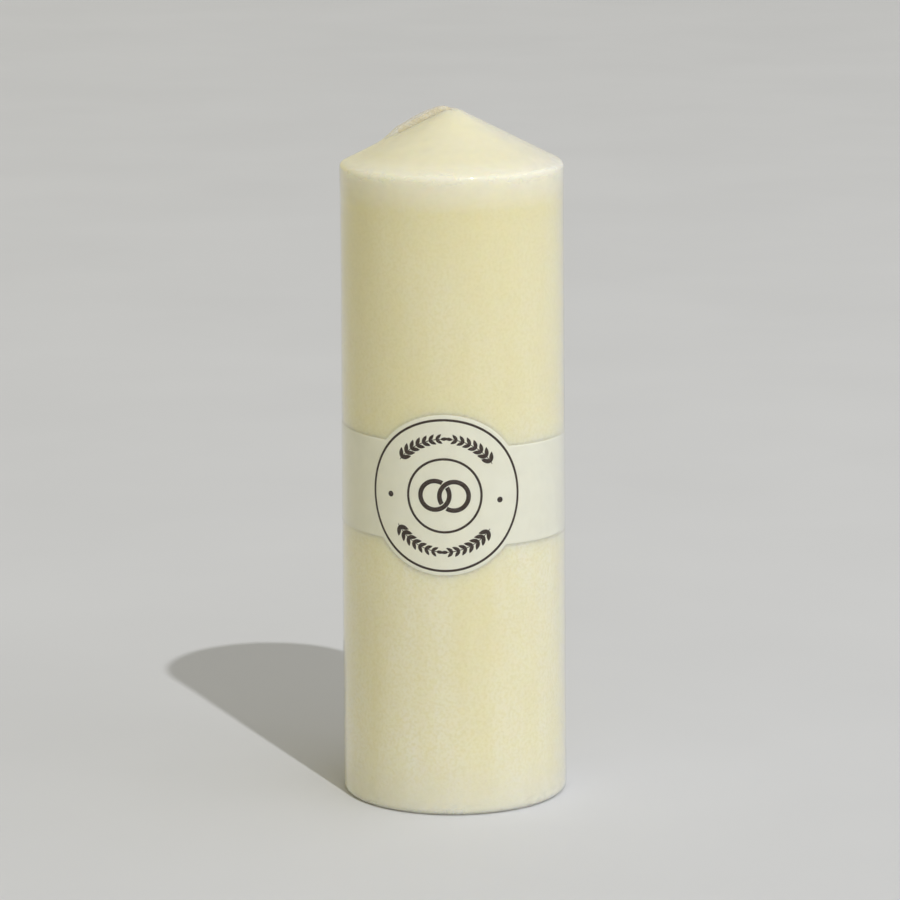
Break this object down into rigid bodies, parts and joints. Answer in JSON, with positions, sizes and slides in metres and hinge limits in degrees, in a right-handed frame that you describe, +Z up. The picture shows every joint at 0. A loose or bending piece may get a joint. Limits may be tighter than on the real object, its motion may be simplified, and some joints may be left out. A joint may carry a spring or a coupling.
{
  "type": "unity candle",
  "caption": "Film-wrapped pillar candle with a cone top, its wick tail folded down, and a paper band label with a round front.",
  "frame": {"origin": "centre of the underside, on the table", "axes": "+Z up along the candle's axis, -Y out of the middle of the label's round front, and the wick's tail folded towards -X"},
  "size_m": [0.0748, 0.0748, 0.2286],
  "materials": {
    "core_wax": "ivory wax, matt, slightly see-through",
    "dipped_wax": "ivory dipped wax, satin, slightly see-through, with faint upright streaks",
    "cotton": "braided cotton primed with wax",
    "tinplate": "pressed tinplate, dull",
    "label_paper": "uncoated ivory paper with black line print",
    "black_ink": "warm black printing ink, matt",
    "glue": "dried label glue",
    "clear_film": "clear shrink film, glossy, with fine shrink ripples"
  },
  "bodies": {
    "root": {"wax_core": "core_wax", "dipped_skin": "dipped_wax", "wick": "cotton", "wick_sustainer": "tinplate", "band_label": "label_paper", "label_glue": "glue", "shrink_film": "clear_film"}
  },
  "joints": []
}
